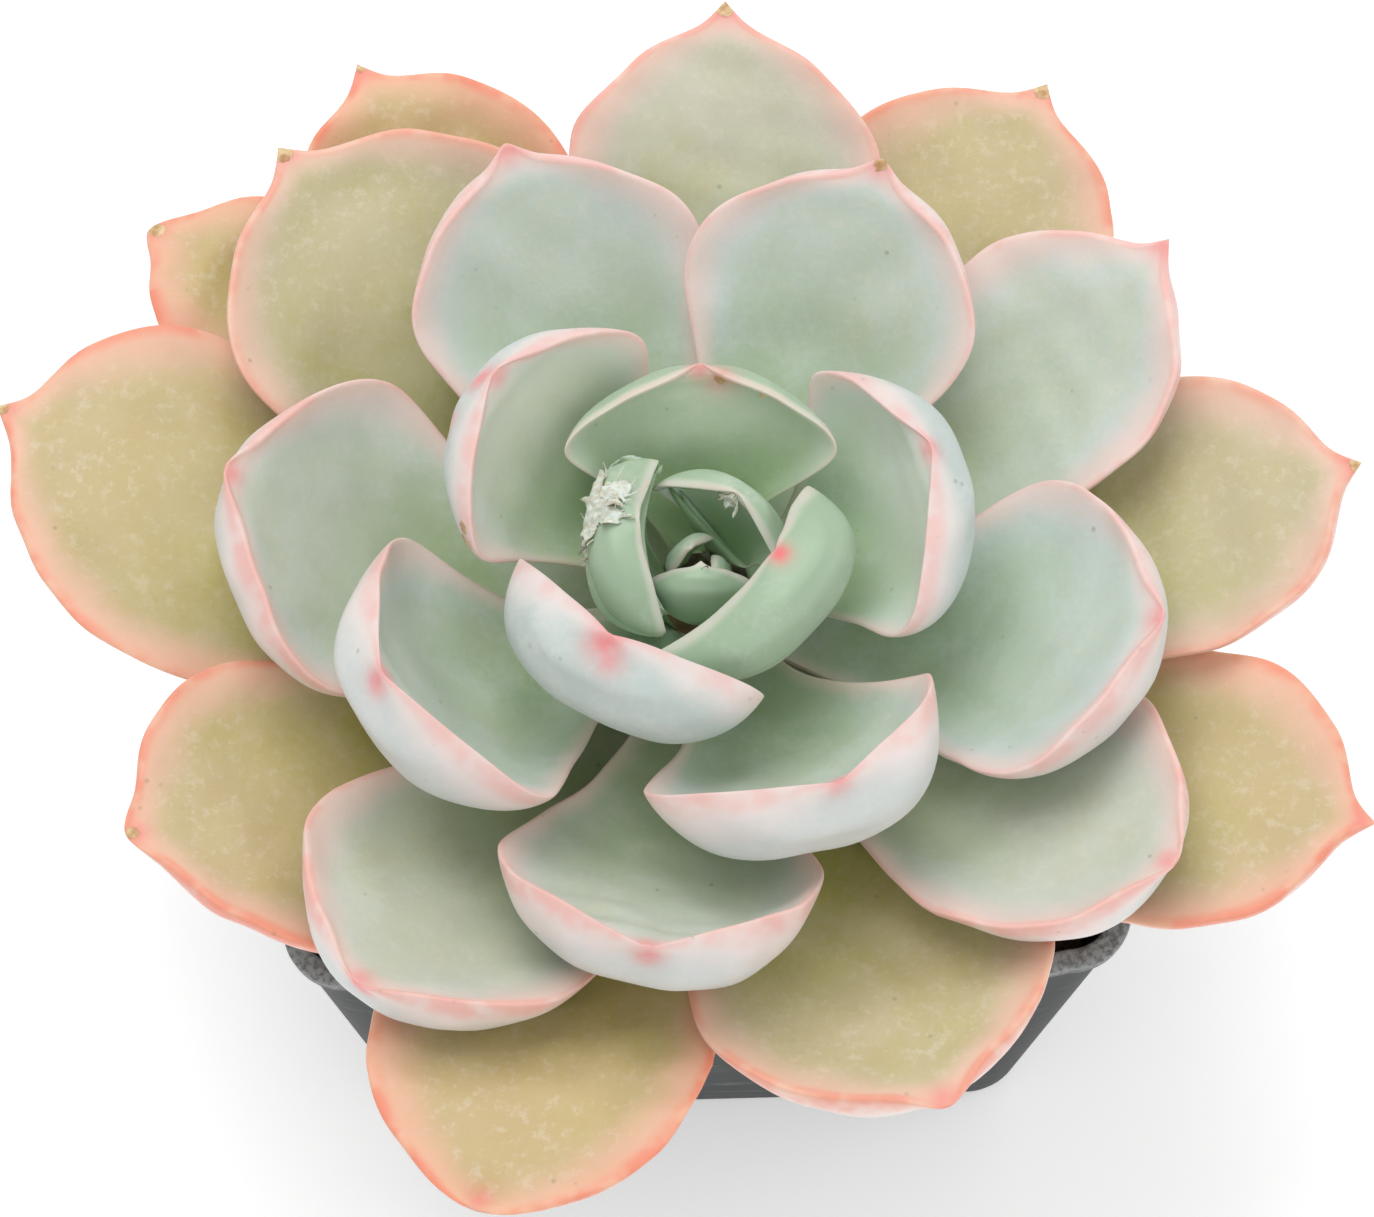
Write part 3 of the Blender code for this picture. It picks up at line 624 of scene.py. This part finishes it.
def leaf_frame(leaf, along, across, on_top):
    """The unit way outward at points of a leaf's surface, and the lengths that t and v measure there."""
    step = 0.012
    ahead = on_leaf(leaf, along + step, across, on_top) - on_leaf(leaf, along - step, across, on_top)
    beside = on_leaf(leaf, along, across + step, on_top) - on_leaf(leaf, along, across - step, on_top)
    out = np.cross(ahead, beside)
    inside = on_leaf(leaf, along, across * 0.6, not on_top) - on_leaf(leaf, along, across, on_top)
    out *= -np.sign((out * inside).sum(axis=-1, keepdims=True))
    scale = [np.linalg.norm(way, axis=-1, keepdims=True) for way in (ahead, beside, out)]
    return out / scale[2], scale[0] / (2 * step), scale[1] / (2 * step)


def crust(leaf, along, across, on_top, reach, seed):
    """A papery flake laid on a leaf: rings of a jagged disc, out over its top and back below.

    At share s of its radius R(a) = r (0.72 + 0.2 sin(3a) + 0.16 sin(7a) + spikes) it stands off the leaf by
    h (1 - s^2), curls up toward its rim with s^5, and is a tenth of a millimetre thick.
    """
    draw = np.random.default_rng(seed)
    phase = draw.uniform(0.0, 2.0 * math.pi, 4)
    around = 72
    angle = np.linspace(0.0, 2.0 * math.pi, around, endpoint=False)
    jag = 0.72 + 0.2 * np.sin(3 * angle + phase[0]) + 0.16 * np.sin(7 * angle + phase[1])
    jag += 0.14 * np.maximum(np.sin(11 * angle + phase[2]), 0.0) ** 4
    share = np.concatenate([np.linspace(0.12, 1.0, 11), np.linspace(0.98, 0.12, 8)])
    upper, rim = np.arange(len(share)) < 11, 10
    _, long_scale, cross_scale = leaf_frame(leaf, np.array([along]), np.array([across]), on_top)
    far = reach * MM * share[:, None] * jag[None, :]
    t = np.clip(along + far * np.cos(angle) / long_scale[0, 0], 0.02, 0.985)
    v = np.clip(across + far * np.sin(angle) / cross_scale[0, 0], -0.97, 0.97)
    spot, out = on_leaf(leaf, t, v, on_top), leaf_frame(leaf, t, v, on_top)[0]
    curl = np.maximum(waves(spot, 1.6 * MM, seed + 3), 0.0)
    lift = 0.22 * MM * (1.0 - share[:, None] ** 2) + 0.55 * MM * share[:, None] ** 5 * curl
    lift = lift + 0.05 * MM * waves(spot, 0.7 * MM, seed + 5) + np.where(upper, 0.16, 0.05)[:, None] * MM
    rings = spot + lift[:, :, None] * out
    return rings, rings[0].mean(axis=0), rings[-1].mean(axis=0), spot[rim], out[rim]


def strand(start, way, length, thick, seed, stations=14, around=6):
    """A thin curled thread: rings along p(s) = start + l s d + bends, with radius r (1 - 0.7 s)."""
    draw = np.random.default_rng(seed)
    bend = draw.normal(size=(2, 3)) * length * 0.4
    s = np.linspace(0.0, 1.0, stations)[:, None]
    path = start + length * s * way + bend[0] * s * s + bend[1] * s * s * (1.0 - s)
    ahead = np.gradient(path, axis=0)
    ahead /= np.linalg.norm(ahead, axis=1)[:, None]
    side = np.cross(ahead, np.array([0.31, 0.52, 0.79]))
    side /= np.linalg.norm(side, axis=1)[:, None]
    up = np.cross(ahead, side)
    angle = np.linspace(0.0, 2.0 * math.pi, around, endpoint=False)[None, :, None]
    radius = (thick * (1.0 - 0.7 * s))[:, None, :]
    rings = path[:, None, :] + radius * (np.cos(angle) * side[:, None, :] + np.sin(angle) * up[:, None, :])
    return rings, path[0], path[-1]


def join_lofts(name, lofts, material):
    """One piece from several closed skins."""
    points, fours, threes, start = [], [], [], 0
    for rings, first, last in lofts:
        own, (quads, fans) = closed_skin(rings, first, last)
        points.append(own)
        fours.append(quads + start)
        threes.append(fans + start)
        start += len(own)
    return make_mesh(name, np.concatenate(points), [np.concatenate(fours), np.concatenate(threes)], material)


def build_dry_bits(leaves, look):
    """The papery crust, laid in three flakes with eight threads each, on one young leaf, a scrap and a hair."""
    lofts = []
    for along, across, reach, seed in ((0.90, -0.14, 3.6, 3), (0.80, 0.0, 2.6, 8), (0.94, -0.42, 1.9, 21)):
        rings, first, last, rim, out = crust(leaves[-3], along, across, False, reach, seed)
        lofts.append((rings, first, last))
        draw = np.random.default_rng(seed + 70)
        middle = rim.mean(axis=0)
        for k in draw.choice(len(rim), 8, replace=False):
            way = rim[k] - middle
            way = way / np.linalg.norm(way) + 0.35 * out[k] + 0.3 * draw.normal(size=3)
            lofts.append(strand(rim[k] + 0.1 * MM * out[k], way / np.linalg.norm(way), draw.uniform(0.7, 1.7) * MM,
                                0.09 * MM, seed + int(k)))
    settle(join_lofts("papery_crust", lofts, look), "heart_leaf_03")
    rings, first, last, _, _ = crust(leaves[-4], 0.93, 0.1, True, 1.3, 31)
    settle(join_lofts("papery_scrap", [(rings, first, last)], look), "heart_leaf_04")
    root = on_leaf(leaves[-5], np.array([0.93]), np.array([0.4]), True)[0]
    hair = strand(root, np.array([0.35, -0.2, 0.9]), 2.4 * MM, 0.07 * MM, 15, 20)
    settle(join_lofts("fine_hair", [hair], hair_material()), "heart_leaf_05")


def crust_material():
    """Dry, papery leaf skin, off-white with tan in its folds."""
    material, tree, shader = new_material("papery crust", Roughness=0.7, Subsurface_Weight=0.3,
                                          Subsurface_Scale=0.0015)
    place = own_place(tree)
    fine = noise(tree, place, 1400.0, 4.0, 0.65)
    skin = blend(tree, fade(tree, fine, 0.3, 0.7), paint(206, 192, 168), paint(240, 238, 228))
    feed(tree, shader, {"Base Color": skin, "Normal": bump(tree, fine, 0.0002, 0.7)})
    return material


def hair_material():
    """A dark fibre."""
    material, tree, shader = new_material("dark fibre", Roughness=0.6)
    place = own_place(tree)
    skin = blend(tree, noise(tree, place, 2000.0), paint(40, 44, 46), paint(84, 84, 80))
    feed(tree, shader, {"Base Color": skin})
    return material


# ---------------------------------------------------------------- pot, mix and stem

POT_LOW, POT_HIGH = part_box("pot")
POT_HEIGHT = POT_HIGH[2] - POT_LOW[2]
POT_BOW = 3.2 * MM
POT_LIP_OUT = 0.6 * MM
POT_RIM_HALF = (POT_HIGH[0] - POT_LOW[0]) / 2.0 - POT_BOW - POT_LIP_OUT
POT_BASE_HALF = POT_RIM_HALF - 5.8 * MM
POT_WALL = 1.3 * MM
POT_FLOOR = 1.8 * MM
POT_LIP = 2.6 * MM
POT_FOOT = 2.0 * MM
DRAIN_OFFSET = 17 * MM
DRAIN_RADIUS = 4 * MM
MIX_LEVEL = 43 * MM
MIX_CRUMBS = 520
NECK_HEIGHT = 39 * MM
NECK_RADIUS = 8.5 * MM
STEM_TIP = 67.5 * MM
STEM_TIP_RADIUS = 1.2 * MM


def pot_rings(heights, insets, side_steps=30, corner_steps=14):
    """Rings of the pot's section: a square with rounded corners and sides that bow out by b (1 - (s / flat)^2).

    At share h of the height the half width, the corner and the bow go in a straight line from foot to rim.
    Each ring is moved in from the outside by its inset.
    """
    heights, insets = np.asarray(heights)[:, None], np.asarray(insets)[:, None]
    share = heights / POT_HEIGHT
    half = POT_BASE_HALF + (POT_RIM_HALF - POT_BASE_HALF) * share - insets
    corner = 6.0 * MM - 0.8 * MM * share - 0.75 * insets
    bow = POT_BOW * share
    flat = half - corner
    step = np.arange(side_steps) / side_steps * 2.0 - 1.0
    angle = np.arange(corner_steps) / corner_steps * math.pi / 2.0
    rows = []
    for turn in range(4):
        c, s = (1, 0, -1, 0)[turn], (0, 1, 0, -1)[turn]
        along = np.concatenate([flat * step, flat + corner * np.sin(angle)], axis=1)
        out = np.concatenate([half + bow * (1.0 - step ** 2), flat + corner * np.cos(angle)], axis=1)
        rows.append(np.stack([out * c - along * s, out * s + along * c, np.broadcast_to(heights, out.shape)], axis=2))
    return np.concatenate(rows, axis=1)


def build_pot(look):
    """The pot: one wall drawn from foot to lip and down inside, with four drain holes cut through its floor."""
    lip = POT_HEIGHT - POT_LIP
    quarter = np.linspace(0.0, math.pi / 2.0, 7)
    foot = [(POT_FOOT * (1.0 - math.cos(a)) * 0.999, POT_FOOT * (1.0 - math.sin(a))) for a in quarter]
    wall = [(h, 0.0) for h in np.linspace(POT_FOOT, lip - 0.9 * MM, 14)[1:]]
    under_lip = [(lip - 0.5 * MM, -0.04 * MM), (lip - 0.2 * MM, -0.25 * MM), (lip + 0.1 * MM, -0.5 * MM)]
    bead = [(lip + 0.5 * MM, -POT_LIP_OUT), (POT_HEIGHT - 0.9 * MM, -POT_LIP_OUT)]
    crown = [(POT_HEIGHT - 0.7 * MM * (1.0 - math.sin(a)), -POT_LIP_OUT + 0.7 * MM * (1.0 - math.cos(a)))
             for a in quarter[1:]]
    crown += [(POT_HEIGHT - 0.5 * MM * (1.0 - math.cos(a)), POT_WALL - 0.5 * MM * (1.0 - math.sin(a)))
              for a in quarter]
    inside = [(h, POT_WALL) for h in np.linspace(POT_HEIGHT - 0.8 * MM, POT_FLOOR + 1.6 * MM, 12)]
    inner = [(POT_FLOOR + 1.5 * MM * (1.0 - math.sin(a)), POT_WALL + 1.5 * MM * (1.0 - math.cos(a)))
             for a in quarter]
    profile = np.array(foot + wall + under_lip + bead + crown + inside + inner)
    rings = pot_rings(profile[:, 0], profile[:, 1])
    start, end = (0.0, 0.0, 0.0), (0.0, 0.0, POT_FLOOR)
    pot = loft("nursery_pot", rings, start, end, look)
    shell = bmesh.new()
    for x in (-DRAIN_OFFSET, DRAIN_OFFSET):
        for y in (-DRAIN_OFFSET, DRAIN_OFFSET):
            place = Matrix.Translation((x, y, POT_FLOOR / 2.0))
            bmesh.ops.create_cone(shell, cap_ends=True, segments=40, radius1=DRAIN_RADIUS, radius2=DRAIN_RADIUS,
                                  depth=3.0 * POT_FLOOR, matrix=place)
    cutter_mesh = bpy.data.meshes.new("drain_cutter")
    shell.to_mesh(cutter_mesh)
    shell.free()
    cutter = bpy.data.objects.new("drain_cutter", cutter_mesh)
    bpy.context.scene.collection.objects.link(cutter)
    cut = pot.modifiers.new("drain holes", "BOOLEAN")
    cut.operation, cut.solver, cut.object = "DIFFERENCE", "EXACT", cutter
    drilled = bpy.data.meshes.new_from_object(pot.evaluated_get(bpy.context.evaluated_depsgraph_get()))
    pot.modifiers.clear()
    pot.data = drilled
    bpy.data.objects.remove(cutter, do_unlink=True)
    settle(pot, "pot")


def mix_height(x, y):
    """The mix's surface: heaped toward the stem, with lumps of two sizes."""
    place = np.stack([x, y, np.zeros_like(x)], axis=-1)
    out = np.hypot(x - STEM_AXIS[0], y - STEM_AXIS[1])
    heap = 1.6 * MM * (1.0 - smooth(8 * MM, 40 * MM, out))
    lumps = waves(place, 5 * MM, 11) * 0.35 * MM + waves(place, 2.2 * MM, 12) * 0.16 * MM
    return MIX_LEVEL + heap + lumps


def build_mix(look, grit_look):
    """The potting mix: its lumpy top, the block below it, and loose crumbs and grit that lie on it."""
    clear = POT_WALL + 0.35 * MM
    low = [(2.2 * MM, clear + 1.6 * MM), (3.6 * MM, clear + 0.3 * MM), (20 * MM, clear), (36 * MM, clear),
           (42.0 * MM, clear)]
    sides = pot_rings([row[0] for row in low], [row[1] for row in low])
    edge = pot_rings([MIX_LEVEL], [clear + 0.6 * MM])[0]
    spoke = edge[:, :2] - STEM_AXIS
    spoke /= np.linalg.norm(spoke, axis=1)[:, None]
    inner = STEM_AXIS + 8.4 * MM * spoke
    share = np.linspace(0.0, 1.0, 44)[:, None, None]
    flat = edge[None, :, :2] * (1.0 - share) + inner[None] * share
    top = np.concatenate([flat, mix_height(flat[..., 0], flat[..., 1])[..., None]], axis=2)
    socket = [np.concatenate([ring, np.full((len(ring), 1), height)], axis=1)[None]
              for ring, height in ((inner, MIX_LEVEL - 2 * MM), (STEM_AXIS + 4.5 * MM * spoke, STEM_FOOT))]
    rings = np.concatenate([sides, top, *socket])
    mix = loft("potting_mix_bed", rings, (0.0, 0.0, 2.2 * MM), (*STEM_AXIS, STEM_FOOT), look)
    settle(mix, "potting_mix")

    draw = np.random.default_rng(5)
    ball = bmesh.new()
    bmesh.ops.create_icosphere(ball, subdivisions=1, radius=1.0)
    unit = np.array([vert.co[:] for vert in ball.verts])
    faces = np.array([[vert.index for vert in face.verts] for face in ball.faces])
    ball.free()
    count = MIX_CRUMBS
    angle, out = draw.uniform(0.0, 2.0 * math.pi, count), np.sqrt(draw.uniform(0.06, 1.0, count)) * 39.5 * MM
    limit = 34.5 * MM / np.maximum(np.abs(np.cos(angle)), np.abs(np.sin(angle)))
    out = np.minimum(out, limit)
    x, y = out * np.cos(angle), out * np.sin(angle)
    size = draw.uniform(0.35, 1.0, (count, 1, 1)) * MM * draw.uniform(0.6, 1.3, (count, 1, 3))
    turn, _ = np.linalg.qr(draw.normal(size=(count, 3, 3)))
    lumpy = unit[None] * size * (1.0 + 0.25 * draw.normal(size=(count, len(unit), 1)).clip(-1.5, 1.5))
    place = np.stack([x, y, mix_height(x, y) + 0.2 * MM], axis=1)[:, None, :]
    points = np.einsum("nij,nvj->nvi", turn, lumpy) + place
    flip = np.linalg.det(turn) < 0.0
    faces = faces[None] + (np.arange(count) * len(unit))[:, None, None]
    faces[flip] = faces[flip][:, :, ::-1]
    tone = np.repeat(draw.uniform(0.0, 1.0, count), len(unit))
    keep = np.hypot(x - STEM_AXIS[0], y - STEM_AXIS[1]) > 10.5 * MM
    grit = make_mesh("mix_crumbs", points.reshape(-1, 3), [faces[keep].reshape(-1, 3)], grit_look, {"tone": tone},
                     smooth_faces=False)
    settle(grit, "potting_mix")


def build_stem(look):
    """The short stem: r(h) falls from its neck to the growing tip, with the low steps of old leaf scars."""
    low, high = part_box("stem")
    height = np.concatenate([np.linspace(low[2], NECK_HEIGHT, 6)[:-1],
                             np.linspace(NECK_HEIGHT, high[2] - 0.6 * MM, 60)])
    angle = np.linspace(0.0, 2.0 * math.pi, 64, endpoint=False)
    share = np.clip((height - MIX_LEVEL) / (STEM_TIP - MIX_LEVEL), 0.0, 1.0)
    radius = NECK_RADIUS + (STEM_TIP_RADIUS - NECK_RADIUS) * share
    foot = np.interp(height, [low[2], NECK_HEIGHT], [4 * MM, 7.6 * MM])
    radius = np.where(height < NECK_HEIGHT, foot, radius)
    scars = np.sin(5.0 * angle[None, :] + height[:, None] / MM * 1.9) * np.sin(height[:, None] / MM * 2.4)
    radius = radius[:, None] * (0.975 + 0.02 * scars)
    rings = np.stack([
        STEM_AXIS[0] + radius * np.cos(angle), STEM_AXIS[1] + radius * np.sin(angle),
        np.broadcast_to(height[:, None], radius.shape),
    ], axis=2)
    stem = loft("short_stem", rings, (*STEM_AXIS, low[2]), (*STEM_AXIS, high[2]), look)
    settle(stem, "stem")


def pot_material():
    """Dark grey moulded plastic: a pale rim that is partly wear and partly a painted highlight, long curved scratches,
    dust in its texture.
    """
    material, tree, shader = new_material("pot plastic", Specular_IOR_Level=0.4)
    place = own_place(tree)
    height = new_node(tree, "ShaderNodeSeparateXYZ", {0: place}).outputs["Z"]
    cloud = noise(tree, place, 70.0, 4.0, 0.6)
    fine = noise(tree, place, 1800.0, 3.0, 0.6)
    tilt = new_node(tree, "ShaderNodeMapping", {"Vector": place, "Rotation": (0.5, 0.35, 0.2),
                                                "Scale": (0.35, 0.35, 6.0)}).outputs[0]
    strokes = noise(tree, tilt, 160.0, 5.0, 0.62, 1.6)
    scratch = times(tree, fade(tree, strokes, 0.55, 0.72), fade(tree, cloud, 0.38, 0.62))
    dust = fade(tree, cloud, 0.35, 0.75, 0.0, 0.5)
    skin = blend(tree, dust, paint(32, 36, 38), paint(66, 70, 70))
    skin = blend(tree, times(tree, scratch, 0.5), skin, paint(140, 143, 142))
    # The top of the pot is painted paler: partly wear, partly a painted highlight along the lip.
    rim = fade(tree, plus(tree, height, times(tree, cloud, 0.0016)), 0.0510, 0.0538)
    rim_wear_and_highlight = times(tree, rim, fade(tree, fine, 0.35, 0.6, 0.35, 0.85))
    skin = blend(tree, rim_wear_and_highlight, skin, paint(150, 152, 150))
    relief = plus(tree, times(tree, fine, 0.5), times(tree, scratch, -0.6))
    feed(tree, shader, {"Base Color": skin, "Roughness": plus(tree, 0.42, times(tree, cloud, 0.3)),
                        "Normal": bump(tree, relief, 0.0001, 0.6)})
    return material


def mix_material(name, crumbs):
    """Dark brown potting mix with paler grains; loose crumbs each keep a tone of their own."""
    material, tree, shader = new_material(name, Roughness=0.92, Specular_IOR_Level=0.25)
    place = own_place(tree)
    fine = noise(tree, place, 900.0, 5.0, 0.7)
    grain = spots(tree, place, 700.0)
    skin = blend(tree, fine, paint(38, 28, 22), paint(96, 74, 56))
    if crumbs:
        tone = mesh_value(tree, "tone")
        skin = blend(tree, fade(tree, tone, 0.55, 0.75), skin, paint(122, 96, 72))
        skin = blend(tree, fade(tree, tone, 0.9, 0.96), skin, paint(196, 186, 170))
    else:
        skin = blend(tree, fade(tree, grain, 0.1, 0.25, 0.5, 0.0), skin, paint(128, 104, 82))
    feed(tree, shader, {"Base Color": skin, "Normal": bump(tree, fine, 0.0006, 0.8)})
    return material


def stem_material():
    """Dry tan bark on the short stem."""
    material, tree, shader = new_material("stem bark", Roughness=0.85)
    place = own_place(tree)
    fine = noise(tree, place, 600.0, 5.0, 0.65)
    skin = blend(tree, fine, paint(104, 84, 56), paint(172, 152, 108))
    feed(tree, shader, {"Base Color": skin, "Normal": bump(tree, fine, 0.0004, 0.8)})
    return material


# ---------------------------------------------------------------- stage

def build_stage():
    """Pale floor, soft studio light and the camera that looks down on the plant from the front."""
    scene = bpy.context.scene
    floor_look, tree, shader = new_material("pale floor", Roughness=0.9, Specular_IOR_Level=0.1)
    feed(tree, shader, {"Base Color": (0.9, 0.9, 0.9, 1.0), "Emission Color": (1.0, 1.0, 1.0, 1.0),
                        "Emission Strength": 0.3})
    size = 1.6
    corners = np.array([(-size, -size, 0.0), (size, -size, 0.0), (size, size, 0.0), (-size, size, 0.0)])
    floor = make_mesh("pale_floor", corners, [np.array([[0, 1, 2, 3]])], floor_look)

    world = bpy.data.worlds.new("soft room")
    scene.world = world
    world.use_nodes = True
    feed(world.node_tree, world.node_tree.nodes["Background"], {"Color": (1.0, 1.0, 1.0, 1.0), "Strength": 0.6})
    for name, place, power, width in (
        ("overhead softbox", (-0.12, 0.28, 0.68), 2.8, 0.6),
        ("front softbox", (0.10, -0.75, 0.42), 1.15, 0.55),
        ("side softbox", (0.70, 0.05, 0.45), 0.8, 0.45),
    ):
        light = bpy.data.lights.new(name, "AREA")
        light.energy, light.size, light.shape = power, width, "DISK"
        lamp = bpy.data.objects.new(name, light)
        lamp.location = place
        lamp.rotation_euler = (Vector((0.0, 0.0, 0.05)) - Vector(place)).to_track_quat("-Z", "Y").to_euler()
        scene.collection.objects.link(lamp)

    lens = bpy.data.cameras.new("camera")
    lens.sensor_fit, lens.sensor_width, lens.lens = "HORIZONTAL", 36.0, 107.03
    lens.clip_start, lens.clip_end = 0.01, 20.0
    camera = bpy.data.objects.new("camera", lens)
    high, turn = math.radians(64.0), math.radians(-1.5)
    back = Vector((math.sin(turn) * math.cos(high), -math.cos(turn) * math.cos(high), math.sin(high)))
    right = Vector((math.cos(turn), math.sin(turn), 0.0))
    up = back.cross(right)
    place = Vector((0.0, -6.0, 64.0)) * MM + back * 380.0 * MM - right * 1.209 * MM - up * 0.791 * MM
    turned = Matrix((right, up, back)).transposed().to_4x4()
    camera.matrix_world = Matrix.Translation(place) @ turned
    scene.collection.objects.link(camera)
    scene.camera = camera
    scene.view_settings.view_transform = "Standard"


def main():
    """Builds the stage, the finishes and every piece."""
    build_stage()
    bloom = bloom_group()
    skin = leaf_group(bloom)
    # Each ring's colours: body, deep, pale (bloom and a painted reflection by the margin), glow, line, under.
    looks = {
        "heart_leaf": leaf_material("heart leaf", skin, (
            paint(184, 206, 180), paint(136, 172, 118), paint(200, 215, 206), paint(204, 212, 192),
            paint(222, 202, 192), paint(166, 189, 162)), (4.5, 1.0, 0.14), 0.3),
        "inner_leaf": leaf_material("inner leaf", skin, (
            paint(210, 223, 210), paint(158, 192, 148), paint(222, 233, 238), paint(234, 216, 212),
            paint(234, 176, 172), paint(190, 202, 198)), (8.0, 4.2, 0.3), 0.4),
        "middle_leaf": leaf_material("middle leaf", skin, (
            paint(194, 209, 197), paint(156, 182, 142), paint(214, 226, 232), paint(236, 212, 206),
            paint(234, 168, 162), paint(206, 212, 210)), (9.0, 5.4, 0.32), 0.45),
        "outer_leaf": leaf_material("outer leaf", skin, (
            paint(186, 183, 144), paint(152, 160, 72), paint(204, 204, 192), paint(236, 200, 184),
            paint(232, 150, 130), paint(224, 216, 212)), (8.0, 6.0, 0.46), 0.6),
    }
    build_dry_bits(build_leaves(looks), crust_material())
    build_pot(pot_material())
    build_mix(mix_material("potting mix", False), mix_material("loose crumbs", True))
    build_stem(stem_material())


main()
